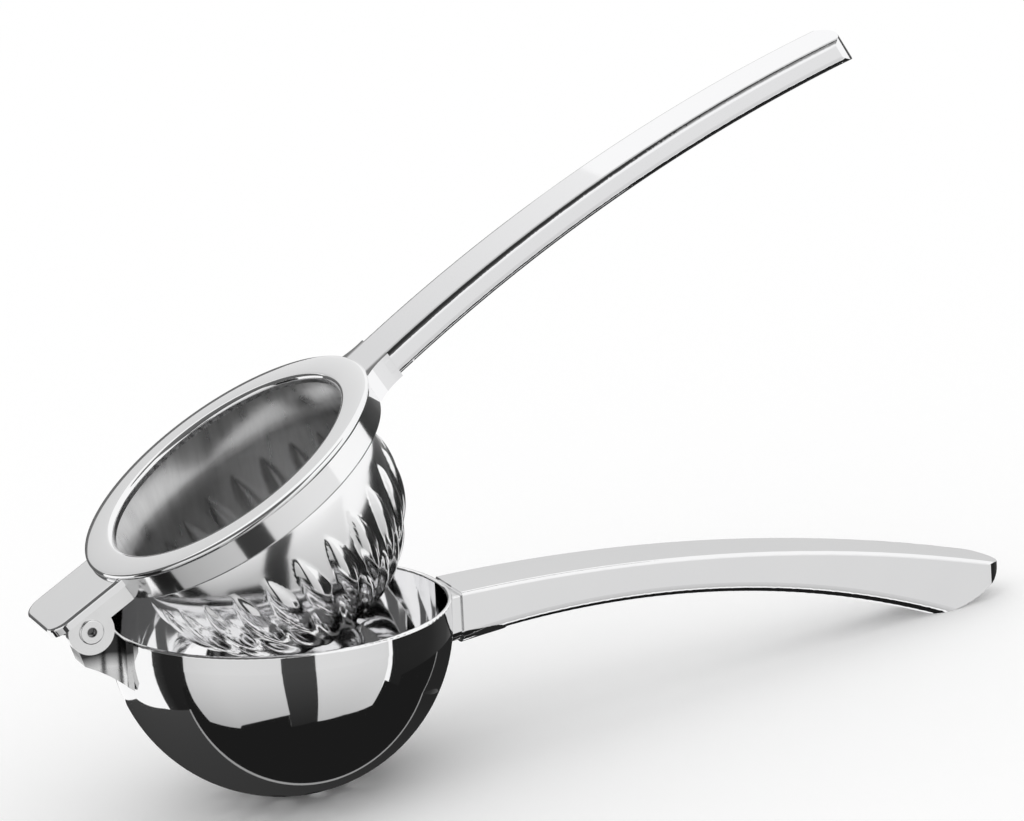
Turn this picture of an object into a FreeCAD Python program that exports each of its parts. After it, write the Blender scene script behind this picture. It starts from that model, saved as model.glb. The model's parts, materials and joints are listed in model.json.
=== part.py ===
import FreeCAD, Part
import math
import os

# A hinged lemon squeezer of stainless steel. It is drawn with the lower bowl's rim centre at the
# origin, the bowl's axis along Z, both handles towards +X and the hinge at -X, and the upper arm
# closed, with the two handles level. The arm is then opened, and the whole is stood on a table.

V = FreeCAD.Vector
Y_AXIS = V(0, 1, 0)
Z_AXIS = V(0, 0, 1)

# Lower bowl
BOWL_R = 36.2
BOWL_STRAIGHT = 3.7
BOWL_WALL = 1.2
BOWL_LIP = 0.5
DRAIN_HOLE_R = 1.75
DRAIN_RINGS = ((0, 1), (12.5, 6), (23, 12))

# Both handles
HANDLE_CROWN_R = 402.0

# Lower handle
LOWER_TOP_CROWN_X = 60.0
LOWER_TOP_CROWN_Z = -0.7
LOWER_UNDER_CROWN_X = 72.0
LOWER_UNDER_CROWN_Z = -10.1
LOWER_UNDER_R = 216.0
LOWER_END_X = 169.2
LOWER_END_SIDE_X = 165.5
LOWER_HEEL_X = 150.0
LOWER_END_BULGE = 2.6
LOWER_ROOT_WIDTH = 15.2
LOWER_TIP_WIDTH = 13.3
LOWER_TOP_EDGE = 0.8
LOWER_UNDER_EDGE = 2.9
NECK_LENGTH = 2.0
NECK_INSET = 0.7

# Upper handle
UPPER_CROWN_X = 70.0
UPPER_CROWN_Z = 11.1
UPPER_THICKNESS = 6.0
UPPER_END_X = 161.3
UPPER_END_SIDE_X = 158.9
UPPER_ROOT_WIDTH = 14.8
UPPER_TIP_WIDTH = 13.8
UPPER_TOP_EDGE = 1.3
UPPER_UNDER_EDGE = 2.2
UPPER_FLARE_WIDTH = 20.0
UPPER_FLARE_LENGTH = 6.0
HANDLE_END_CORNER = 3.2

# Ring of the upper arm
RING_R = 33.9
RING_BORE_R = 29.25
RING_BOTTOM_Z = 3.7
RING_TOP_Z = 9.4
RING_EDGE = 0.4

# Press cup
CUP_R = 29.0
CUP_WALL = 1.0
CUP_STRAIGHT_Z = -2.2
CUP_DEPTH = 30.9
FLANGE_R = 34.8
FLANGE_THICKNESS = 1.25
FLANGE_CROWN = 0.35
FLANGE_OUTER_EDGE = 0.6
FLANGE_INNER_EDGE = 1.1
# Each row of flutes: how many, the angles down the bowl of the cup where they begin and end, half
# the width of one, how far it stands out, and the turn of the first one as a share of the spacing
FLUTE_ROWS = (
    (24, 3.0, 35.0, 2.2, 1.3, 0.0),
    (24, 29.0, 61.0, 1.8, 1.1, 0.5),
    (12, 57.0, 81.0, 1.5, 0.9, 0.0),
)
# The depth of a flute's ellipsoid as a multiple of how far it stands out
FLUTE_SINK = 3.4

# Hinge
HINGE_X = -43.6
HINGE_Z = 3.9
TONGUE_WIDTH = 20.0
TONGUE_THICKNESS = 2.0
TONGUE_END_X = -50.6
TONGUE_CORNER = 4.0
TONGUE_TOP_EDGE = 0.7
CHEEK_R = 4.9
CHEEK_THICKNESS = 2.2
CHEEK_INSET = 0.7
WASHER_R = 3.0
WASHER_THICKNESS = 0.5
WASHER_GAP = 0.1
PIN_R = 1.6
PIN_RUNNING_GAP = 0.06
PIN_SEAT_GAP = 0.02
PIN_HEAD_R = 2.6
PIN_HEAD_HEIGHT = 0.5
PIN_HEAD_EDGE = 0.3
PIN_DIMPLE_R = 1.0
PIN_DIMPLE_DEPTH = 1.3
KNUCKLE_CLEARANCE = 0.4
LUG_WEB_HALF = 3.4
LUG_FLARE_R = 4.6
LUG_LOW_Z = -10.5
LUG_TOP_Z = -0.6
LUG_CHIN_BACK = 0.2
LUG_CHIN_DROP = 9.0
LUG_WAIST_OUT = 3.0
LUG_WAIST_Z = -7.6

# How far the arm stands open at rest
ARM_OPEN_DEG = 31.2

# How near an edge must lie to where it is looked for
NEAR = 0.01

HINGE = V(HINGE_X, 0, HINGE_Z)
TONGUE_UNDER_Z = RING_TOP_Z - TONGUE_THICKNESS
FLANGE_TOP_Z = RING_TOP_Z + FLANGE_THICKNESS
CHEEK_OUTER_Y = TONGUE_WIDTH / 2 - CHEEK_INSET
CHEEK_INNER_Y = CHEEK_OUTER_Y - CHEEK_THICKNESS
LUG_HALF_WIDTH = CHEEK_INNER_Y - WASHER_THICKNESS - WASHER_GAP


def point(x, z):
    """A point in the upright plane through both handles."""
    return V(x, 0, z)


def line(a, b):
    return Part.makeLine(a, b)


def arc(a, middle, b):
    return Part.Arc(a, middle, b).toShape()


def face(edges):
    return Part.Face(Part.Wire(Part.__sortEdges__(edges)))


def crown_z(x, crown_x, crown_z_value, radius):
    """Height of a large arc whose highest point is its crown."""
    return crown_z_value - radius + math.sqrt(radius ** 2 - (x - crown_x) ** 2)


def crown_arc(x_from, x_to, crown_x, crown_z_value, radius):
    ends = [x_from, (x_from + x_to) / 2, x_to]
    return arc(*[point(x, crown_z(x, crown_x, crown_z_value, radius)) for x in ends])


def slab(profile, width):
    """A profile in the XZ plane given a width, half on each side."""
    solid = profile.extrude(V(0, width, 0))
    solid.translate(V(0, -width / 2, 0))
    return solid


def turned(profile):
    return profile.revolve(V(0, 0, 0), Z_AXIS, 360)


def post(radius, z_from, z_to):
    """A round bar on the bowl's axis."""
    return Part.makeCylinder(radius, z_to - z_from, V(0, 0, z_from), Z_AXIS)


def crossbar(radius, y_from, y_to):
    """A round bar on the hinge axis."""
    return Part.makeCylinder(radius, y_to - y_from, V(HINGE_X, y_from, HINGE_Z), Y_AXIS)


def edges_where(shape, test):
    return [edge for edge in shape.Edges if test(edge)]


def middle_of(edge):
    first, last = edge.ParameterRange
    return edge.valueAt((first + last) / 2)


def one_solid(shape):
    return shape.removeSplitter().Solids[0]


def bowl_profile(radius, rim_z):
    """Half of the bowl's section: a quarter circle below a straight wall."""
    centre_z = -BOWL_STRAIGHT
    low = point(0, centre_z - radius)
    slope = point(radius * math.cos(math.pi / 4), centre_z - radius * math.sin(math.pi / 4))
    side = point(radius, centre_z)
    return face([
        arc(low, slope, side),
        line(side, point(radius, rim_z)),
        line(point(radius, rim_z), point(0, rim_z)),
        line(point(0, rim_z), low),
    ])


def bowl_outside():
    return turned(bowl_profile(BOWL_R, 0.0))


def lower_bowl():
    inside = turned(bowl_profile(BOWL_R - BOWL_WALL, BOWL_WALL))
    bowl = bowl_outside().cut(inside)
    rim = edges_where(bowl, lambda e: abs(middle_of(e).z) < BOWL_LIP / 2 and e.Length > BOWL_R)
    bowl = bowl.makeFillet(BOWL_LIP, rim)
    for polar, count in DRAIN_RINGS:
        for k in range(count):
            bowl = bowl.cut(drain_drill(polar, 360.0 * k / count))
    return one_solid(bowl)


def drain_drill(polar, azimuth):
    """A drill through the bowl's wall, square to it."""
    centre = V(0, 0, -BOWL_STRAIGHT)
    start = centre - Z_AXIS * (BOWL_R + BOWL_WALL)
    drill = Part.makeCylinder(DRAIN_HOLE_R, 3 * BOWL_WALL, start, Z_AXIS)
    drill.rotate(centre, Y_AXIS, -polar)
    drill.rotate(centre, Z_AXIS, azimuth)
    return drill


def rounded_end(root_width, tip_width, side_x, end_x, height):
    """A tall block that gives a handle its end: from above, a shallow arc between round corners."""
    root = root_width / 2
    tip = tip_width / 2
    edges = [
        line(V(0, -root, 0), V(0, root, 0)),
        line(V(0, root, 0), V(side_x, tip, 0)),
        arc(V(side_x, tip, 0), V(end_x, 0, 0), V(side_x, -tip, 0)),
        line(V(side_x, -tip, 0), V(0, -root, 0)),
    ]
    block = standing(face(edges), -height, height)
    corners = edges_where(block, lambda e: e.Length > height
                          and middle_of(e).x > side_x - HANDLE_END_CORNER)
    return block.makeFillet(HANDLE_END_CORNER, corners)


def standing(plan, z_from, z_to):
    solid = plan.extrude(V(0, 0, z_to - z_from))
    solid.translate(V(0, 0, z_from))
    return solid


def handle_bar(root_x, end_x, root_width, tip_width, top, under, top_edge, under_edge):
    """A bar between two long arcs, tapered from above, with its long edges rounded."""
    profile = face([
        crown_arc(root_x, end_x, *top),
        line(point(end_x, crown_z(end_x, *top)), point(end_x, crown_z(end_x, *under))),
        crown_arc(root_x, end_x, *under),
        line(point(root_x, crown_z(root_x, *top)), point(root_x, crown_z(root_x, *under))),
    ])
    root = root_width / 2
    tip = tip_width / 2
    corners = [V(root_x, -root, 0), V(end_x, -tip, 0), V(end_x, tip, 0), V(root_x, root, 0)]
    taper = face([line(corners[k - 1], corners[k]) for k in range(4)])
    bar = slab(profile, 2 * root_width).common(standing(taper, -end_x, end_x))

    def long_edges(arc_values):
        return edges_where(bar, lambda e: e.Length > (end_x - root_x) / 2
                           and abs(middle_of(e).z - crown_z(middle_of(e).x, *arc_values)) < NEAR)
    bar = bar.makeFillet(under_edge, long_edges(under))
    return bar.makeFillet(top_edge, long_edges(top))


def slanted_end(top, under):
    """What is kept of the lower handle from the side: its end slants back to the heel."""
    nose = point(LOWER_END_X, crown_z(LOWER_END_X, *top))
    heel = point(LOWER_HEEL_X, crown_z(LOWER_HEEL_X, *under))
    slant = (heel - nose).normalize()
    bulge = (nose + heel) / 2 + V(-slant.z, 0, slant.x) * LOWER_END_BULGE
    above = point(LOWER_END_X, LOWER_END_X)
    below = point(LOWER_HEEL_X, -LOWER_END_X)
    back_above = point(0, LOWER_END_X)
    back_below = point(0, -LOWER_END_X)
    return face([
        line(back_above, above),
        line(above, nose),
        arc(nose, bulge, heel),
        line(heel, below),
        line(below, back_below),
        line(back_below, back_above),
    ])


def lower_handle():
    neck_x = BOWL_R + NECK_LENGTH
    top = (LOWER_TOP_CROWN_X, LOWER_TOP_CROWN_Z, HANDLE_CROWN_R)
    under = (LOWER_UNDER_CROWN_X, LOWER_UNDER_CROWN_Z, LOWER_UNDER_R)
    bar = handle_bar(neck_x, LOWER_END_X + HANDLE_END_CORNER, LOWER_ROOT_WIDTH, LOWER_TIP_WIDTH,
                     top, under, LOWER_TOP_EDGE, LOWER_UNDER_EDGE)
    end = rounded_end(2 * LOWER_ROOT_WIDTH, LOWER_TIP_WIDTH, LOWER_END_SIDE_X, LOWER_END_X, LOWER_END_X)
    bar = bar.common(end)
    bar = bar.common(slab(slanted_end(top, under), 2 * LOWER_ROOT_WIDTH))
    neck_top = (LOWER_TOP_CROWN_X, LOWER_TOP_CROWN_Z - NECK_INSET, HANDLE_CROWN_R)
    neck_under = (LOWER_UNDER_CROWN_X, LOWER_UNDER_CROWN_Z + NECK_INSET, LOWER_UNDER_R)
    neck_width = LOWER_ROOT_WIDTH - 2 * NECK_INSET
    neck = handle_bar(BOWL_R / 2, neck_x, neck_width, neck_width, neck_top, neck_under,
                      LOWER_TOP_EDGE / 2, LOWER_UNDER_EDGE - NECK_INSET)
    return one_solid(bar.fuse(neck.cut(bowl_outside())))


def root_flare(flare_x, root_x, top, under):
    """The web that widens the upper handle's root into the ring, with hollow sides."""
    root = UPPER_ROOT_WIDTH / 2
    flare = UPPER_FLARE_WIDTH / 2
    bend_x = (root_x + 2 * flare_x) / 3
    bend_y = root + (flare - root) / 3
    edges = [
        line(V(flare_x, -flare, 0), V(flare_x, flare, 0)),
        line(V(root_x, -root, 0), V(root_x, root, 0)),
    ]
    for side in (-1, 1):
        ends = [V(root_x, side * root, 0), V(bend_x, side * bend_y, 0), V(flare_x, side * flare, 0)]
        edges.append(arc(*ends))
    web = standing(face(edges), -root_x, root_x)
    profile = face([
        crown_arc(flare_x, root_x, *top),
        line(point(root_x, crown_z(root_x, *top)), point(root_x, crown_z(root_x, *under))),
        crown_arc(flare_x, root_x, *under),
        line(point(flare_x, crown_z(flare_x, *top)), point(flare_x, crown_z(flare_x, *under))),
    ])
    return web.common(slab(profile, 2 * UPPER_FLARE_WIDTH))


def upper_handle():
    root_x = RING_R + UPPER_FLARE_LENGTH
    flare_x = math.sqrt(RING_R ** 2 - (UPPER_FLARE_WIDTH / 2) ** 2) - RING_EDGE
    top = (UPPER_CROWN_X, UPPER_CROWN_Z, HANDLE_CROWN_R)
    under = (UPPER_CROWN_X, UPPER_CROWN_Z - UPPER_THICKNESS, HANDLE_CROWN_R - UPPER_THICKNESS)
    bar = handle_bar(flare_x, UPPER_END_X + HANDLE_END_CORNER, UPPER_ROOT_WIDTH, UPPER_TIP_WIDTH,
                     top, under, UPPER_TOP_EDGE, UPPER_UNDER_EDGE)
    end = rounded_end(2 * UPPER_ROOT_WIDTH, UPPER_TIP_WIDTH, UPPER_END_SIDE_X, UPPER_END_X, UPPER_END_X)
    bar = bar.common(end)
    handle = bar.fuse(root_flare(flare_x, root_x, top, under))
    handle = handle.cut(post(RING_R, -UPPER_END_X, UPPER_END_X))
    handle = handle.cut(post(FLANGE_R, RING_TOP_Z, UPPER_END_X))
    return one_solid(handle)


def ring_frame():
    ring = post(RING_R, RING_BOTTOM_Z, RING_TOP_Z).cut(post(RING_BORE_R, RING_BOTTOM_Z, RING_TOP_Z))
    low = edges_where(ring, lambda e: abs(middle_of(e).z - RING_BOTTOM_Z) < RING_EDGE and e.Length > RING_R)
    return one_solid(ring.makeFillet(RING_EDGE, low))


def cup_profile(radius, depth, top_z):
    """Half of the cup's section: a quarter ellipse below a straight wall."""
    centre = point(0, CUP_STRAIGHT_Z)
    low = point(0, CUP_STRAIGHT_Z - depth)
    side = point(radius, CUP_STRAIGHT_Z)
    curve = Part.Ellipse(low, side, centre)
    return face([
        Part.ArcOfEllipse(curve, 0, math.pi / 2).toShape(),
        line(side, point(radius, top_z)),
        line(point(radius, top_z), point(0, top_z)),
        line(point(0, top_z), low),
    ])


def leaf_half_size(reach, drop, depth):
    """Half the size of an ellipsoid that sinks into a surface, drop below its top, at a given reach."""
    return reach / math.sqrt(1 - (1 - drop / depth) ** 2)


def flute_leaf(row, k, inward_by):
    """A leaf that lies along the cup's slope and stands out of it, for one flute."""
    count, begins, ends, half_width, height, turn = row
    slope = math.radians((begins + ends) / 2)
    cup_mean_r = (CUP_R + CUP_DEPTH) / 2
    reach = math.radians(ends - begins) / 2 * cup_mean_r
    depth = height * FLUTE_SINK
    long_half = leaf_half_size(reach, height + reach ** 2 / (2 * cup_mean_r), depth)
    wide_half = leaf_half_size(half_width, height + half_width ** 2 / (2 * cup_mean_r), depth)
    leaf = Part.makeSphere(1.0)
    size = FreeCAD.Matrix()
    size.scale(depth, wide_half, long_half)
    leaf = leaf.transformGeometry(size)
    lean = math.atan2(CUP_R * math.sin(slope), CUP_DEPTH * math.cos(slope))
    leaf.rotate(V(0, 0, 0), Y_AXIS, math.degrees(lean))
    seat = point(CUP_R * math.cos(slope), CUP_STRAIGHT_Z - CUP_DEPTH * math.sin(slope))
    inward = V(-math.cos(lean), 0, math.sin(lean))
    leaf.translate(seat + inward * (depth - height + inward_by))
    leaf.rotate(V(0, 0, 0), Z_AXIS, 360.0 * (k + turn) / count)
    return leaf


def flange_crown():
    """The low dome along the flange's top."""
    inner = point(CUP_R - CUP_WALL, FLANGE_TOP_Z)
    outer = point(FLANGE_R, FLANGE_TOP_Z)
    crest = (inner + outer) / 2 + Z_AXIS * FLANGE_CROWN
    return turned(face([arc(inner, crest, outer), line(outer, inner)]))


def press_cup():
    outside = turned(cup_profile(CUP_R, CUP_DEPTH, FLANGE_TOP_Z))
    outside = outside.fuse(post(FLANGE_R, RING_TOP_Z, FLANGE_TOP_Z)).fuse(flange_crown())
    inside = turned(cup_profile(CUP_R - CUP_WALL, CUP_DEPTH - CUP_WALL, FLANGE_TOP_Z + CUP_WALL))
    ribs = []
    hollows = []
    for row in FLUTE_ROWS:
        for k in range(row[0]):
            ribs.append(flute_leaf(row, k, 0.0))
            hollows.append(flute_leaf(row, k, CUP_WALL))
    cup = outside.multiFuse(ribs).cut(inside).cut(Part.makeCompound(hollows))
    cup = max(cup.Solids, key=lambda s: s.Volume)

    def edge_at(radius, z):
        return edges_where(cup, lambda e: abs(middle_of(e).z - z) < NEAR and e.Length > CUP_R
                           and abs(math.hypot(middle_of(e).x, middle_of(e).y) - radius) < NEAR)
    rim = edge_at(FLANGE_R, FLANGE_TOP_Z) + edge_at(FLANGE_R, RING_TOP_Z)
    cup = cup.makeFillet(FLANGE_OUTER_EDGE, rim)
    cup = cup.makeFillet(FLANGE_INNER_EDGE, edge_at(CUP_R - CUP_WALL, FLANGE_TOP_Z))
    return cup.Solids[0]


def hinge_tongue():
    half = TONGUE_WIDTH / 2
    corner = TONGUE_CORNER
    edges = [line(V(0, -half, 0), V(0, half, 0))]
    inset = corner * (1 - math.sqrt(0.5))
    for side in (-1, 1):
        start = V(TONGUE_END_X + corner, side * half, 0)
        turn_in = V(TONGUE_END_X + inset, side * (half - inset), 0)
        stop = V(TONGUE_END_X, side * (half - corner), 0)
        edges.append(line(V(0, side * half, 0), start))
        edges.append(arc(start, turn_in, stop))
    edges.append(line(V(TONGUE_END_X, -(half - corner), 0), V(TONGUE_END_X, half - corner, 0)))
    plate = standing(face(edges), TONGUE_UNDER_Z, RING_TOP_Z)
    top = edges_where(plate, lambda e: abs(middle_of(e).z - RING_TOP_Z) < NEAR
                      and middle_of(e).x < -NEAR)
    plate = plate.makeFillet(TONGUE_TOP_EDGE, top)
    return one_solid(plate.cut(post(RING_R, TONGUE_UNDER_Z, RING_TOP_Z)))


def hinge_cheek(side):
    y_from = CHEEK_INNER_Y if side > 0 else -CHEEK_OUTER_Y
    disc = crossbar(CHEEK_R, y_from, y_from + CHEEK_THICKNESS)
    web_height = TONGUE_UNDER_Z - RING_BOTTOM_Z
    web = Part.makeBox(-HINGE_X, CHEEK_THICKNESS, web_height, V(HINGE_X, y_from, RING_BOTTOM_Z))
    cheek = disc.fuse(web)
    over_corner = V(HINGE_X - CHEEK_R, y_from, TONGUE_UNDER_Z)
    over = Part.makeBox(2 * CHEEK_R, CHEEK_THICKNESS, CHEEK_R, over_corner)
    cheek = cheek.cut(over).cut(post(RING_R, -CHEEK_R, FLANGE_TOP_Z))
    bore = crossbar(PIN_R + PIN_SEAT_GAP, y_from, y_from + CHEEK_THICKNESS)
    return one_solid(cheek.cut(bore))


def hinge_pin():
    pin = crossbar(PIN_R, -CHEEK_OUTER_Y, CHEEK_OUTER_Y)
    for side in (-1, 1):
        y_head = CHEEK_OUTER_Y if side > 0 else -CHEEK_OUTER_Y - PIN_HEAD_HEIGHT
        head = crossbar(PIN_HEAD_R, y_head, y_head + PIN_HEAD_HEIGHT)
        y_out = side * (CHEEK_OUTER_Y + PIN_HEAD_HEIGHT)
        outer = edges_where(head, lambda e: abs(middle_of(e).y - y_out) < NEAR
                            and e.Length > PIN_HEAD_R)
        head = head.makeFillet(PIN_HEAD_EDGE, outer)
        dimple = crossbar(PIN_DIMPLE_R, y_out - PIN_DIMPLE_DEPTH, y_out + PIN_DIMPLE_DEPTH)
        pin = pin.fuse(head).cut(dimple)
    return one_solid(pin)


def hinge_washers():
    washers = []
    for side in (-1, 1):
        y_from = CHEEK_INNER_Y - WASHER_THICKNESS if side > 0 else -CHEEK_INNER_Y
        washer = crossbar(WASHER_R, y_from, y_from + WASHER_THICKNESS)
        washers.append(washer.cut(crossbar(PIN_R + PIN_SEAT_GAP, y_from, y_from + WASHER_THICKNESS)))
    return Part.makeCompound(washers)


def lug_plan():
    """The lug's web from above, with hollow sides that widen towards the bowl."""
    bend_x = -BOWL_R - LUG_FLARE_R
    wide = LUG_WEB_HALF + LUG_FLARE_R
    inset = LUG_FLARE_R * math.sqrt(0.5)
    edges = [
        line(V(0, -wide, 0), V(0, wide, 0)),
        line(V(2 * HINGE_X, -LUG_WEB_HALF, 0), V(2 * HINGE_X, LUG_WEB_HALF, 0)),
    ]
    for side in (-1, 1):
        slim = V(bend_x, side * LUG_WEB_HALF, 0)
        middle = V(bend_x + inset, side * (wide - inset), 0)
        broad = V(-BOWL_R, side * wide, 0)
        edges.append(line(V(2 * HINGE_X, side * LUG_WEB_HALF, 0), slim))
        edges.append(arc(slim, middle, broad))
        edges.append(line(broad, V(0, side * wide, 0)))
    return face(edges)


def bowl_hinge_lug():
    """The lug welded to the bowl: a web that flares into the bowl, and a knuckle round the pin."""
    knuckle_r = TONGUE_UNDER_Z - HINGE_Z - KNUCKLE_CLEARANCE
    wall_x = -BOWL_R
    left = point(HINGE_X - knuckle_r, HINGE_Z)
    right = point(HINGE_X + knuckle_r, HINGE_Z)
    chin = point(HINGE_X - LUG_CHIN_BACK, HINGE_Z - LUG_CHIN_DROP)
    foot = point(wall_x + BOWL_WALL, LUG_LOW_Z)
    waist = point(wall_x - LUG_WAIST_OUT, LUG_WAIST_Z)
    web = face([
        line(left, right),
        line(right, point(wall_x + BOWL_WALL, LUG_TOP_Z)),
        line(point(wall_x + BOWL_WALL, LUG_TOP_Z), foot),
        arc(foot, waist, chin),
        line(chin, left),
    ])
    lug = slab(web, 2 * (LUG_WEB_HALF + LUG_FLARE_R)).common(standing(lug_plan(), 2 * LUG_LOW_Z, BOWL_R))
    lug = lug.fuse(crossbar(knuckle_r, -LUG_HALF_WIDTH, LUG_HALF_WIDTH))
    lug = lug.cut(bowl_outside()).removeSplitter()
    lug = max(lug.Solids, key=lambda s: s.Volume)
    return one_solid(lug.cut(crossbar(PIN_R + PIN_RUNNING_GAP, -LUG_HALF_WIDTH, LUG_HALF_WIDTH)))


def stand_angle():
    """How far the rim leans when the bowl and the lower handle's heel both rest on a table."""
    heel_z = crown_z(LOWER_HEEL_X, LOWER_UNDER_CROWN_X, LOWER_UNDER_CROWN_Z, LOWER_UNDER_R)
    drop = heel_z + BOWL_STRAIGHT
    reach = math.hypot(LOWER_HEEL_X, drop)
    return math.degrees(math.asin(BOWL_R / reach) + math.atan2(drop, LOWER_HEEL_X))


def base_pieces():
    return {
        "lower_bowl": lower_bowl(),
        "lower_handle": lower_handle(),
        "bowl_hinge_lug": bowl_hinge_lug(),
    }


def arm_pieces():
    return {
        "ring_frame": ring_frame(),
        "press_cup": press_cup(),
        "upper_handle": upper_handle(),
        "hinge_tongue": hinge_tongue(),
        "hinge_cheek_left": hinge_cheek(1),
        "hinge_cheek_right": hinge_cheek(-1),
        "hinge_pin": hinge_pin(),
        "hinge_washers": hinge_washers(),
    }


def main():
    os.makedirs("parts", exist_ok=True)
    arm = arm_pieces()
    for shape in arm.values():
        shape.rotate(HINGE, Y_AXIS, -ARM_OPEN_DEG)
    pieces = {**base_pieces(), **arm}
    for shape in pieces.values():
        shape.rotate(V(0, 0, 0), Y_AXIS, stand_angle())
    box = Part.makeCompound(list(pieces.values())).optimalBoundingBox(False)
    home = V(-(box.XMin + box.XMax) / 2, -(box.YMin + box.YMax) / 2, -box.ZMin)
    for name, shape in pieces.items():
        shape.translate(home)
        shape.exportStep("parts/%s.step" % name)
    hinge = FreeCAD.Rotation(Y_AXIS, stand_angle()).multVec(HINGE) + home
    print("lean %.4f deg, home %s, hinge %s" % (stand_angle(), tuple(home), tuple(hinge)))
    for name, shape in pieces.items():
        facts = (name, len(shape.Solids), shape.Volume, shape.isValid())
        print("%-18s %d solid %9.1f mm3 valid %s" % facts)


main()
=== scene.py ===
import bpy
import json
import math
from mathutils import Matrix, Vector


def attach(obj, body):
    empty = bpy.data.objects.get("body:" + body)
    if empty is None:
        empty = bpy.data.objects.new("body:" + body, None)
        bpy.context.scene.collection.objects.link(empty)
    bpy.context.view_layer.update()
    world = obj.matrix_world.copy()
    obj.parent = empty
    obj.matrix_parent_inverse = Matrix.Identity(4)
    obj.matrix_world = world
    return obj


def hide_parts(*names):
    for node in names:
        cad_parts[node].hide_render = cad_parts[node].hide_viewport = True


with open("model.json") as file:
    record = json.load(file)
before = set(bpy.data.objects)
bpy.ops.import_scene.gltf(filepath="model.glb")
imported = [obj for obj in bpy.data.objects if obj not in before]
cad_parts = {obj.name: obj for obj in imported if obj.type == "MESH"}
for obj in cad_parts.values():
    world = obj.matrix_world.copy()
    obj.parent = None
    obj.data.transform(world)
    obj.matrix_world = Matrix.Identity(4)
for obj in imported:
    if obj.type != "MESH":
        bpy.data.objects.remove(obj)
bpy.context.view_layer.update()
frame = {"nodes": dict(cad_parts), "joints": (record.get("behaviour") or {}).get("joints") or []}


# Frames of the drawing: the bowl's rim centre is the origin, in millimetres, and the arm is closed

LEAN = math.radians(5.8677)
ARM_OPEN = math.radians(31.2)
HINGE_DRAWN = Vector((-43.6, 0.0, 3.9))
HINGE = Vector(frame["joints"][0]["pos_m"])
MILLIMETRE = 0.001


def arm_frame():
    """From the drawing to the scene, with the drawing turned round the hinge to the open arm."""
    return (Matrix.Translation(HINGE) @ Matrix.Rotation(LEAN - ARM_OPEN, 4, "Y")
            @ Matrix.Scale(MILLIMETRE, 4) @ Matrix.Translation(-HINGE_DRAWN))


# Materials

# Noise lies mostly between these
NOISE_LOW = 0.3
NOISE_HIGH = 0.7
# Noises: scale per metre and detail
CLOUDS = (55.0, 3.0)
WAVES = (70.0, 1.0)
STREAKS = (420.0, 4.0)
GRAIN = (900.0, 2.0)
TURNED_CLOUDS = (300.0, 3.0)
LUG_CLOUDS = (240.0, 3.0)
# Bumps: strength and depth
WAVE_BUMP = (0.2, 0.00004)
GRAIN_BUMP = (0.25, 0.00006)
TURNING_BUMP = (0.15, 0.00003)
# Greys and roughnesses: first and last; the first grey is a little bluer
BLUER = 1.01
POLISH_GREYS = (0.9, 0.95)
SATIN_GREYS = (0.4, 0.72)
# The last, dark edged grey is the painted reflection along the upper handle's edges
EDGE_REFLECTION_GREYS = (0.93, 0.2)
# The first, dark turned grey is the painted shade in the pin's dimple
TURNED_GREYS = (0.12, 0.9)
# The first, dark lug grey is the painted shade in the lug's recess
LUG_SHADE_GREYS = (0.05, 0.85)
POLISH_ROUGHNESS = (0.03, 0.06)
CUP_ROUGHNESS = (0.12, 0.17)
RING_ROUGHNESS = (0.07, 0.1)
SATIN_ROUGHNESS = (0.26, 0.36)
TURNED_ROUGHNESS = (0.12, 0.22)
LUG_ROUGHNESS = (0.2, 0.34)
# How far the streaks in the cup are squeezed along its axis, which draws them out
STREAK_SQUEEZE = 0.12
# The rings that turning leaves
TURNING_SCALE = 900.0
TURNING_DISTORTION = 0.6
# Painted reflection along the upper handle's edges: half the top's width, how far in from there it
# begins and is full
UPPER_HALF_WIDTH = 0.0069
EDGE_IN_Y = 0.0013
EDGE_OUT_Y = 0.0002
# How far up a face of the upper handle looks where the painted reflection begins and where it is
# full
EDGE_SIDE_NORMAL = 0.35
EDGE_TOP_NORMAL = 0.6
# Painted shade in the pin's dimple: dark within the first radius, gone past the second
DIMPLE_SHADE_R = 0.0008
DIMPLE_EDGE_R = 0.0012
# Painted shade in the lug's recess under the hinge: dark above the first height, light below the
# second
LUG_SHADE_Z = 0.0415
LUG_LIGHT_Z = 0.0385


def emptied_material(name):
    material = bpy.data.materials.new(name)
    material.use_nodes = True
    tree = material.node_tree
    tree.nodes.clear()
    return material, tree, tree.nodes.new("ShaderNodeOutputMaterial")


def new_material(name):
    material, tree, output = emptied_material(name)
    shader = tree.nodes.new("ShaderNodeBsdfPrincipled")
    tree.links.new(shader.outputs["BSDF"], output.inputs["Surface"])
    return material, tree, shader


def new_metal(name):
    material, tree, shader = new_material(name)
    shader.inputs["Metallic"].default_value = 1.0
    return material, tree, shader


def placed(tree, location=(0, 0, 0), rotation=(0, 0, 0), scale=(1, 1, 1)):
    """Object coordinates, moved, turned and stretched."""
    place = tree.nodes.new("ShaderNodeTexCoord")
    mapping = tree.nodes.new("ShaderNodeMapping")
    mapping.inputs["Location"].default_value = location
    mapping.inputs["Rotation"].default_value = rotation
    mapping.inputs["Scale"].default_value = scale
    tree.links.new(place.outputs["Object"], mapping.inputs["Vector"])
    return mapping.outputs["Vector"]


def part_of(tree, vector, axis):
    split = tree.nodes.new("ShaderNodeSeparateXYZ")
    tree.links.new(vector, split.inputs["Vector"])
    return split.outputs[axis]


def worked(tree, operation, *values):
    maths = tree.nodes.new("ShaderNodeMath")
    maths.operation = operation
    for k, value in enumerate(values):
        tree.links.new(value, maths.inputs[k])
    return maths.outputs["Value"]


def noise(tree, vector, scale, detail):
    grain = tree.nodes.new("ShaderNodeTexNoise")
    grain.inputs["Scale"].default_value = scale
    grain.inputs["Detail"].default_value = detail
    tree.links.new(vector, grain.inputs["Vector"])
    return grain.outputs["Fac"]


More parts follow.
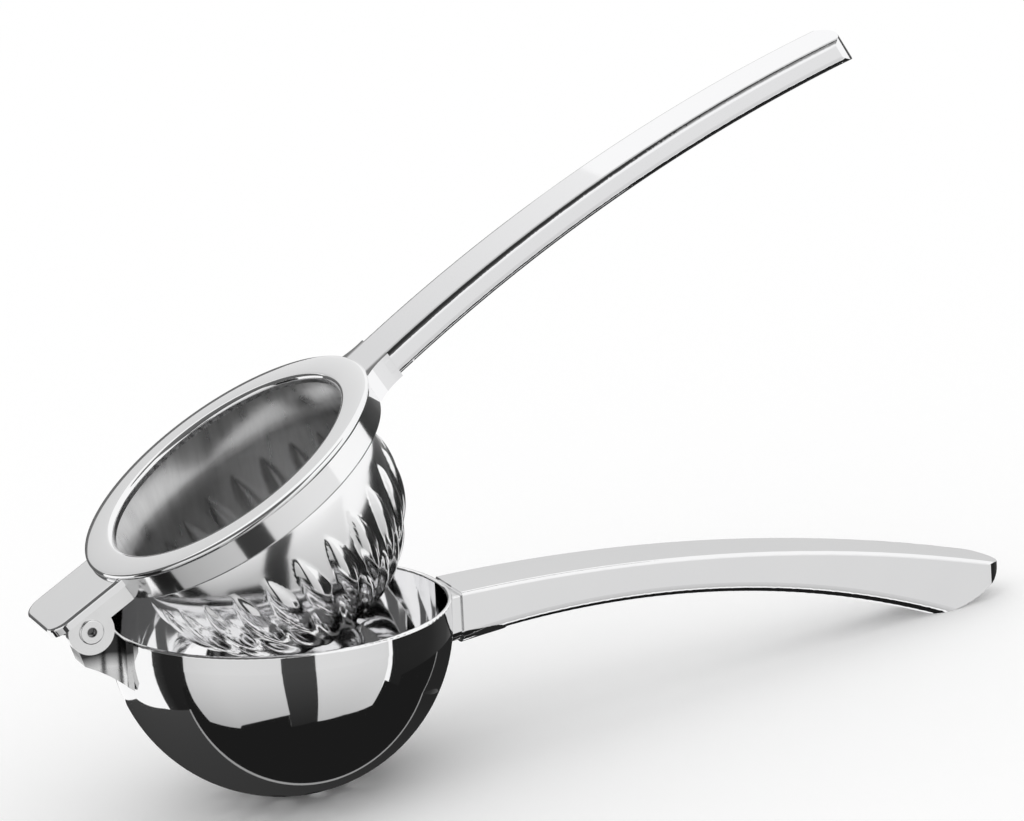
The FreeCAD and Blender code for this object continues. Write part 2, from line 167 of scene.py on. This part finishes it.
def ranged(tree, value, first, last, low=0.0, high=1.0):
    """A value that runs from first to last, laid from low to high."""
    lay = tree.nodes.new("ShaderNodeMapRange")
    lay.inputs["From Min"].default_value = first
    lay.inputs["From Max"].default_value = last
    lay.inputs["To Min"].default_value = low
    lay.inputs["To Max"].default_value = high
    tree.links.new(value, lay.inputs["Value"])
    return lay.outputs["Result"]


def colour(tree, shader, value, greys):
    """Gives the metal a grey between the first and the last."""
    first, last = greys
    tint = tree.nodes.new("ShaderNodeMix")
    tint.data_type = "RGBA"
    tint.inputs["A"].default_value = (first, first, first * BLUER, 1)
    tint.inputs["B"].default_value = (last, last, last, 1)
    tree.links.new(value, tint.inputs["Factor"])
    tree.links.new(tint.outputs["Result"], shader.inputs["Base Color"])


def roughen(tree, shader, grain, roughness):
    rough = ranged(tree, grain, NOISE_LOW, NOISE_HIGH, *roughness)
    tree.links.new(rough, shader.inputs["Roughness"])


def bumped(tree, shader, height, strength, depth):
    bump = tree.nodes.new("ShaderNodeBump")
    bump.inputs["Strength"].default_value = strength
    bump.inputs["Distance"].default_value = depth
    tree.links.new(height, bump.inputs["Height"])
    tree.links.new(bump.outputs["Normal"], shader.inputs["Normal"])


def polished_steel(name, roughness):
    """Polish with faint clouds and the slight waviness of pressed and cast metal."""
    material, tree, shader = new_metal(name)
    clouds = noise(tree, placed(tree), *CLOUDS)
    colour(tree, shader, clouds, POLISH_GREYS)
    roughen(tree, shader, clouds, roughness)
    bumped(tree, shader, noise(tree, placed(tree), *WAVES), *WAVE_BUMP)
    return material


def satin_steel():
    """The unpolished inside of the cup, grey with streaks drawn along the cup's axis."""
    material, tree, shader = new_metal("satin_steel")
    along_cup = placed(tree, rotation=(0, ARM_OPEN - LEAN, 0), scale=(1, 1, STREAK_SQUEEZE))
    streaks = noise(tree, along_cup, *STREAKS)
    colour(tree, shader, streaks, SATIN_GREYS)
    roughen(tree, shader, streaks, SATIN_ROUGHNESS)
    bumped(tree, shader, noise(tree, placed(tree), *GRAIN), *GRAIN_BUMP)
    return material


def edge_reflection_steel():
    """Polished steel of the upper handle, with a painted reflection: darker in a narrow line along
    both edges of its top.
    """
    material, tree, shader = new_metal("edge_reflection_steel")
    away = worked(tree, "ABSOLUTE", part_of(tree, placed(tree), "Y"))
    line = ranged(tree, away, UPPER_HALF_WIDTH - EDGE_IN_Y, UPPER_HALF_WIDTH - EDGE_OUT_Y)
    facing = tree.nodes.new("ShaderNodeTexCoord")
    upward = part_of(tree, facing.outputs["Normal"], "Z")
    top = ranged(tree, upward, EDGE_SIDE_NORMAL, EDGE_TOP_NORMAL)
    # Painted reflection: the last, dark grey along both edges of the top
    colour(tree, shader, worked(tree, "MULTIPLY", line, top), EDGE_REFLECTION_GREYS)
    roughen(tree, shader, noise(tree, placed(tree), *CLOUDS), POLISH_ROUGHNESS)
    bumped(tree, shader, noise(tree, placed(tree), *WAVES), *WAVE_BUMP)
    return material


def turned_steel():
    """Polished steel with the fine rings that turning leaves round the pin, and painted shade in
    its dimple.
    """
    material, tree, shader = new_metal("turned_steel")
    rings = tree.nodes.new("ShaderNodeTexWave")
    rings.wave_type = "RINGS"
    rings.rings_direction = "Y"
    rings.inputs["Scale"].default_value = TURNING_SCALE
    rings.inputs["Distortion"].default_value = TURNING_DISTORTION
    tree.links.new(placed(tree, location=-HINGE), rings.inputs["Vector"])
    from_pin = tree.nodes.new("ShaderNodeVectorMath")
    from_pin.operation = "LENGTH"
    tree.links.new(placed(tree, location=-HINGE, scale=(1, 0, 1)), from_pin.inputs[0])
    # Painted shade: dark close to the hinge axis, in the pin's dimple
    dimple = ranged(tree, from_pin.outputs["Value"], DIMPLE_SHADE_R, DIMPLE_EDGE_R)
    colour(tree, shader, dimple, TURNED_GREYS)
    roughen(tree, shader, noise(tree, placed(tree), *TURNED_CLOUDS), TURNED_ROUGHNESS)
    bumped(tree, shader, rings.outputs["Fac"], *TURNING_BUMP)
    return material


def lug_shaded_steel():
    """Polished lug with painted shade in the recess under the hinge, dark high up and light below.
    """
    material, tree, shader = new_metal("lug_shaded_steel")
    # Painted shade: dark high on the lug, light lower down
    recess = ranged(tree, part_of(tree, placed(tree), "Z"), LUG_SHADE_Z, LUG_LIGHT_Z)
    colour(tree, shader, recess, LUG_SHADE_GREYS)
    roughen(tree, shader, noise(tree, placed(tree), *LUG_CLOUDS), LUG_ROUGHNESS)
    return material


POLISHED = polished_steel("polished_steel", POLISH_ROUGHNESS)
CUP_POLISH = polished_steel("cup_polish", CUP_ROUGHNESS)
RING_POLISH = polished_steel("ring_polish", RING_ROUGHNESS)
SATIN = satin_steel()
TURNED = turned_steel()
NODE_MATERIALS = {"hinge_cheek_left": TURNED, "hinge_cheek_right": TURNED, "hinge_pin": TURNED,
                  "hinge_washers": TURNED, "bowl_hinge_lug": lug_shaded_steel(),
                  "ring_frame": RING_POLISH, "upper_handle": edge_reflection_steel()}

for name, node in frame["nodes"].items():
    node.data.materials.clear()
    node.data.materials.append(NODE_MATERIALS.get(name, POLISHED))


# Modelling helpers

def start_piece(name):
    """Call after a primitive is added: names it and leaves nothing else selected."""
    piece = bpy.context.object
    piece.name = name
    piece.data.name = name
    bpy.ops.object.select_all(action="DESELECT")
    piece.select_set(True)
    bpy.context.view_layer.objects.active = piece
    return piece


def pick(piece, mode, test):
    """In edit mode, selects the vertices, edges or faces that pass the test.

    The test is given the centre, the item and the points of its corners.
    """
    bpy.ops.object.mode_set(mode="EDIT")
    bpy.ops.mesh.select_mode(type=mode)
    bpy.ops.mesh.select_all(action="DESELECT")
    bpy.ops.object.mode_set(mode="OBJECT")
    mesh = piece.data
    for item in {"VERT": mesh.vertices, "EDGE": mesh.edges, "FACE": mesh.polygons}[mode]:
        corners = [item] if mode == "VERT" else [mesh.vertices[k] for k in item.vertices]
        if mode == "FACE":
            centre = item.center
        else:
            centre = sum((corner.co for corner in corners), Vector()) / len(corners)
        item.select = bool(test(centre, item, corners))
    bpy.ops.object.mode_set(mode="EDIT")


def pull(distance):
    """Extrudes what is selected along the axis of the drawing."""
    bpy.ops.mesh.extrude_region_move(TRANSFORM_OT_translate={"value": (0, 0, distance)})


def put_in_place(piece, body, slot, *nodes):
    """Takes a piece from the drawing to its place on the open arm, with the place in its mesh."""
    bpy.ops.object.mode_set(mode="OBJECT")
    piece.data.transform(arm_frame() @ piece.matrix_world)
    piece.matrix_world = Matrix.Identity(4)
    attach(piece, body)
    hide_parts(*nodes)


# Press cup

CUP_R = 29.0
CUP_WALL = 1.0
CUP_DEPTH = 30.9
CUP_STRAIGHT_Z = -2.2
CUP_SEAM_Z = 8.8
CUP_SEGMENTS = 384
CUP_RINGS = 208
FLANGE_R = 34.8
FLANGE_TOP_Z = 10.65
FLANGE_CROWN = 0.35
FLANGE_SEGMENTS = 256
RING_TOP_Z = 9.4
# Bevels of the flange: width and segments
CROWN_BEVEL = (2.2, 8)
RIM_BEVEL = (0.55, 5)
BORE_BEVEL = (1.0, 7)
SMOOTH_ANGLE = math.radians(35)
# Each row: how many, the angles down the cup where they begin and end, half width, height, turn
FLUTE_ROWS = ((24, 3.0, 40.0, 2.5, 1.3, 0.5), (24, 30.0, 64.0, 1.9, 1.1, 0.0),
              (12, 56.0, 83.0, 1.6, 0.9, 0.0))
# Powers that shape a flute along its length: where it is widest, how full it is, how it rises
FLUTE_SLANT = 0.85
FLUTE_FULLNESS = 0.9
FLUTE_RISE = 0.6
# Tolerances: on the sphere of radius 1, for a height, for a round edge, and for a flat face
SPHERE_NEAR = 0.001
NEAR = 0.01
EDGE_NEAR = 0.02
FLAT = 0.5


def flute_height(down, around, reach):
    """How far the cup stands out at an angle down and around it; reach is the radius there."""
    height = 0.0
    for count, begins, ends, half_width, tall, turn in FLUTE_ROWS:
        share = (down - begins) / (ends - begins)
        if not 0.0 < share < 1.0:
            continue
        pitch = 360.0 / count
        off = (around / pitch - turn + 0.5) % 1.0 - 0.5
        width = half_width * math.sin(math.pi * share ** FLUTE_SLANT) ** FLUTE_FULLNESS
        across = abs(math.radians(off * pitch)) * reach / width
        if across < 1.0:
            rise = math.sin(math.pi * share) ** FLUTE_RISE
            height = max(height, tall * rise * (1.0 - across ** 2))
    return height


def press_fluted_cup():
    """Half a sphere with flutes pressed into it and a straight wall above, given its thickness."""
    bpy.ops.mesh.primitive_uv_sphere_add(segments=CUP_SEGMENTS, ring_count=CUP_RINGS, radius=1.0)
    cup = start_piece("fluted_cup")
    pick(cup, "VERT", lambda centre, item, corners: centre.z > SPHERE_NEAR)
    bpy.ops.mesh.delete(type="VERT")
    bpy.ops.object.mode_set(mode="OBJECT")
    for vertex in cup.data.vertices:
        x, y, z = vertex.co
        down = math.degrees(math.asin(min(1.0, max(0.0, -z))))
        reach = CUP_R * math.hypot(x, y)
        square = Vector((x / CUP_R, y / CUP_R, z / CUP_DEPTH)).normalized()
        out = flute_height(down, math.degrees(math.atan2(y, x)), reach)
        vertex.co = Vector((x * CUP_R, y * CUP_R, z * CUP_DEPTH)) + square * out
        vertex.co.z += CUP_STRAIGHT_Z
    pick(cup, "EDGE", lambda centre, item, corners: centre.z > CUP_STRAIGHT_Z - NEAR)
    pull(CUP_SEAM_Z - CUP_STRAIGHT_Z)
    bpy.ops.object.mode_set(mode="OBJECT")
    cup.data.materials.append(CUP_POLISH)
    cup.data.materials.append(SATIN)
    wall = cup.modifiers.new("wall", "SOLIDIFY")
    wall.thickness = CUP_WALL
    wall.offset = -1.0
    wall.material_offset = 1
    bpy.ops.object.modifier_apply(modifier=wall.name)
    bpy.ops.object.shade_smooth()
    put_in_place(cup, "arm", "pressed_steel", "press_cup")


def roll_cup_flange():
    """The polished lip of the cup: a domed flange with a rounded inner edge."""
    bore = CUP_R - CUP_WALL
    middle = (FLANGE_R - bore) / 2
    bpy.ops.mesh.primitive_cylinder_add(
        vertices=FLANGE_SEGMENTS, radius=FLANGE_R, depth=FLANGE_TOP_Z - RING_TOP_Z,
        location=(0, 0, (FLANGE_TOP_Z + RING_TOP_Z) / 2))
    flange = start_piece("cup_flange")
    bpy.ops.object.transform_apply(location=True)
    pick(flange, "FACE", lambda centre, item, corners: item.normal.z > FLAT)
    bpy.ops.mesh.inset(thickness=middle)
    bpy.ops.transform.translate(value=(0, 0, FLANGE_CROWN))
    bpy.ops.mesh.inset(thickness=middle)
    bpy.ops.transform.translate(value=(0, 0, -FLANGE_CROWN))
    pull(CUP_SEAM_Z - FLANGE_TOP_Z)
    bpy.ops.mesh.delete(type="FACE")
    pick(flange, "FACE", lambda centre, item, corners: item.normal.z < -FLAT)
    bpy.ops.mesh.inset(thickness=FLANGE_R - CUP_R)
    pull(CUP_SEAM_Z - RING_TOP_Z)
    bpy.ops.mesh.delete(type="FACE")
    pick(flange, "EDGE",
         lambda centre, item, corners: all(corner.co.z < CUP_SEAM_Z + NEAR for corner in corners))
    bpy.ops.mesh.bridge_edge_loops()
    for radius, z, (width, segments) in ((bore + middle, FLANGE_TOP_Z + FLANGE_CROWN, CROWN_BEVEL),
                                         (FLANGE_R, FLANGE_TOP_Z, RIM_BEVEL),
                                         (FLANGE_R, RING_TOP_Z, RIM_BEVEL),
                                         (bore, FLANGE_TOP_Z, BORE_BEVEL)):
        pick(flange, "EDGE", lambda centre, item, corners:
             abs(math.hypot(centre.x, centre.y) - radius) < EDGE_NEAR
             and abs(centre.z - z) < EDGE_NEAR)
        bpy.ops.mesh.bevel(offset=width, segments=segments, profile=0.5)
    bpy.ops.object.mode_set(mode="OBJECT")
    flange.data.materials.append(POLISHED)
    bpy.ops.object.shade_smooth_by_angle(angle=SMOOTH_ANGLE)
    put_in_place(flange, "arm", "polished_steel", "press_cup")


press_fluted_cup()
roll_cup_flange()


# Cards, sheets and screens that only the metal sees

CARD_DISTANCE = 2.0
CARD_CENTRE = Vector((-0.045, 0.0, 0.045))
CARD_STEP = 3.0
LAYER_STEP = 0.05
BLACK = 0.012


def card_glow():
    """Light of the shade that each point of a board carries."""
    material, tree, output = emptied_material("card_glow")
    glow = tree.nodes.new("ShaderNodeEmission")
    shade = tree.nodes.new("ShaderNodeAttribute")
    shade.attribute_name = "shade"
    tree.links.new(shade.outputs["Color"], glow.inputs["Color"])
    tree.links.new(glow.outputs["Emission"], output.inputs["Surface"])
    return material


CARD_GLOW = card_glow()


def stage_board(name, points, shades, faces):
    """A board that only the metal sees, with a shade at each point."""
    mesh = bpy.data.meshes.new(name)
    mesh.from_pydata(points, [], faces)
    shade = mesh.color_attributes.new("shade", "FLOAT_COLOR", "POINT")
    for k, value in enumerate(shades):
        shade.data[k].color = (value, value, value, 1)
    board = bpy.data.objects.new(name, mesh)
    bpy.context.scene.collection.objects.link(board)
    mesh.materials.append(CARD_GLOW)
    board.visible_camera = False
    board.visible_shadow = False
    board.visible_diffuse = False


def between(first, second, share):
    return [a + (b - a) * share for a, b in zip(first, second)]


def card(name, columns, layer=0):
    """A curved studio card, shaded from its lower to its upper edge.

    Each column is (azimuth, low elevation, high elevation, low shade, high shade), in degrees seen
    from the squeezer; azimuth 0 is in front and 90 at the right. A higher layer stands nearer.
    """
    fine = []
    for first, second in zip(columns, columns[1:]):
        steps = max(1, math.ceil(abs(second[0] - first[0]) / CARD_STEP))
        fine += [between(first, second, step / steps) for step in range(steps)]
    fine.append(list(columns[-1]))
    rows = max(1, math.ceil(max(column[2] - column[1] for column in columns) / CARD_STEP))
    distance = CARD_DISTANCE * (1 - LAYER_STEP * layer)
    points = []
    shades = []
    for azimuth, low, high, low_shade, high_shade in fine:
        turn = math.radians(azimuth)
        for row in range(rows + 1):
            rise = math.radians(low + (high - low) * row / rows)
            way = Vector((math.sin(turn) * math.cos(rise), -math.cos(turn) * math.cos(rise),
                          math.sin(rise)))
            points.append(CARD_CENTRE + way * distance)
            shades.append(low_shade + (high_shade - low_shade) * row / rows)
    faces = []
    for column in range(len(fine) - 1):
        for row in range(rows):
            corner = column * (rows + 1) + row
            faces.append((corner, corner + 1, corner + rows + 2, corner + rows + 1))
    stage_board(name, points, shades, faces)


card("under_table", [(-180, -90, -64, BLACK, BLACK), (180, -90, -64, BLACK, BLACK)])
card("under_front", [(-87, -68, -44, BLACK, BLACK), (-23, -68, -44, BLACK, BLACK)])
card("dark_left", [(-113, -60, 5, 0.03, 0.05), (-104, -60, 5, 0.01, 0.02),
                   (-86, -60, 5, BLACK, 0.02)])
card("dark_gap", [(-23, -55, 8, 0.02, 0.08), (1, -55, 8, 0.02, 0.08)], 1)
card("dark_right", [(57, -52, -17, BLACK, 0.02), (90, -52, 0, BLACK, 0.03),
                    (100, -52, 5, 0.02, 0.03), (125, -45, 4, 0.02, 0.08),
                    (150, -30, -8, 0.1, 0.2)], 1)
card("overhead", [(-180, 74, 90, 0.15, 0.15), (180, 74, 90, 0.15, 0.15)], 1)
card("left_box", [(-87, -60, 18, 0.25, 0.9), (-62, -46, 18, 0.45, 0.95),
                  (-22, -44, 18, 0.5, 0.95)], 2)
card("right_box", [(0, -53, 12, 0.5, 0.95), (30, -54, 12, 0.5, 0.95), (49, -53, 12, 0.55, 0.9),
                   (54, -20, 12, 0.7, 0.9)], 2)
card("dark_ceiling", [(-150, 6, 78, 0.12, 0.15), (-90, 6, 78, 0.1, 0.15),
                      (-60, 18, 78, 0.1, 0.15), (-25, 18, 78, 0.1, 0.15),
                      (-3, 12, 78, 0.1, 0.15), (8, 34, 82, 0.4, 0.2)])
card("grey_backdrop", [(163, -20, -4, 0.08, 0.14), (168, -20, 14, 0.08, 0.14),
                       (176, -20, 18, 0.08, 0.16), (190, -20, 16, 0.08, 0.16),
                       (215, -20, 15, 0.08, 0.16)], 1)
card("pale_backdrop", [(140, -26, 20, 0.6, 0.75), (166, -26, 20, 0.5, 0.7)])
card("pale_back", [(170, 13, 34, 0.85, 0.9), (184, 13, 34, 0.68, 0.75),
                   (205, 13, 34, 0.5, 0.6)])

# The sheets on the table: where two of them meet, where they end under the lower handle, and the
# light line that lies on their seam
SHEET_Z = -0.001
SHEET_EDGE_Y = -0.017
SHEET_END_X = -0.011
LINE_Z = -0.0008
LINE_HALF_WIDTH = 0.0006


def table_sheet(name, outline, left_shade, right_shade, z=SHEET_Z):
    """A flat sheet just under the floor's surface, which the lower steel reflects."""
    left = min(x for x, y in outline)
    right = max(x for x, y in outline)
    shades = [left_shade + (right_shade - left_shade) * (x - left) / (right - left)
              for x, y in outline]
    stage_board(name, [(x, y, z) for x, y in outline], shades, [tuple(range(len(outline)))])


table_sheet("back_sheet", [(-0.137, SHEET_EDGE_Y), (SHEET_END_X, SHEET_EDGE_Y),
                           (SHEET_END_X, 0.09), (-0.03, 0.09), (-0.093, 0.075),
                           (-0.127, 0.052), (-0.137, 0.011)], 0.055, 0.02)
table_sheet("front_sheet", [(-0.19, SHEET_EDGE_Y), (-0.19, -0.024), (-0.118, -0.027),
                            (-0.09, -0.046), (-0.066, -0.054), (-0.05, -0.054),
                            (-0.033, -0.05), (SHEET_END_X, -0.062),
                            (SHEET_END_X, SHEET_EDGE_Y)], BLACK, BLACK)
table_sheet("sheet_edge", [(-0.137, SHEET_EDGE_Y - LINE_HALF_WIDTH),
                           (SHEET_END_X, SHEET_EDGE_Y - LINE_HALF_WIDTH),
                           (SHEET_END_X, SHEET_EDGE_Y + LINE_HALF_WIDTH),
                           (-0.137, SHEET_EDGE_Y + LINE_HALF_WIDTH)], 0.35, 0.3, LINE_Z)

SCREEN_CENTRE_X = -0.058
SCREEN_R = 0.050
SCREEN_TOP_Z = 0.018


def bowl_screen(name, first, last, shade):
    """An upright screen beside the bowl, below the handle, between two azimuths."""
    steps = max(1, math.ceil((last - first) / CARD_STEP))
    points = []
    for step in range(steps + 1):
        turn = math.radians(first + (last - first) * step / steps)
        x = SCREEN_CENTRE_X + SCREEN_R * math.sin(turn)
        y = -SCREEN_R * math.cos(turn)
        points += [(x, y, SHEET_Z), (x, y, SCREEN_TOP_Z)]
    faces = [(2 * k, 2 * k + 1, 2 * k + 3, 2 * k + 2) for k in range(steps)]
    stage_board(name, points, [shade] * len(points), faces)


bowl_screen("screen_front", 38, 69.5, BLACK)
bowl_screen("screen_edge", 69.5, 70.5, 0.3)
bowl_screen("screen_back", 70.5, 135, 0.02)


# Floor, light and camera

FLOOR_SIZE = 30


def make_floor():
    """A white floor that keeps the shadow; the metal sees the cards in its place."""
    bpy.ops.mesh.primitive_plane_add(size=FLOOR_SIZE)
    floor = bpy.context.object
    floor.name = "studio_floor"
    material, tree, shader = new_material("white_floor")
    shader.inputs["Base Color"].default_value = (1, 1, 1, 1)
    shader.inputs["Roughness"].default_value = 1.0
    shader.inputs["Specular IOR Level"].default_value = 0.0
    floor.data.materials.append(material)
    floor.visible_glossy = False


def make_world():
    world = bpy.data.worlds.new("white_studio")
    bpy.context.scene.world = world
    world.use_nodes = True
    tree = world.node_tree
    tree.nodes.clear()
    output = tree.nodes.new("ShaderNodeOutputWorld")
    glow = tree.nodes.new("ShaderNodeBackground")
    glow.inputs["Color"].default_value = (1, 1, 1, 1)
    glow.inputs["Strength"].default_value = 1.0
    tree.links.new(glow.outputs["Background"], output.inputs["Surface"])


def make_camera():
    data = bpy.data.cameras.new("camera")
    data.lens = 149.013
    data.sensor_width = 36.0
    camera = bpy.data.objects.new("camera", data)
    bpy.context.scene.collection.objects.link(camera)
    camera.location = (-0.304812, -0.807622, 0.315245)
    camera.rotation_euler = [math.radians(angle) for angle in (73.89335, 8.28298, -23.08098)]
    bpy.context.scene.camera = camera


make_floor()
make_world()
make_camera()
bpy.context.scene.view_settings.view_transform = "Standard"
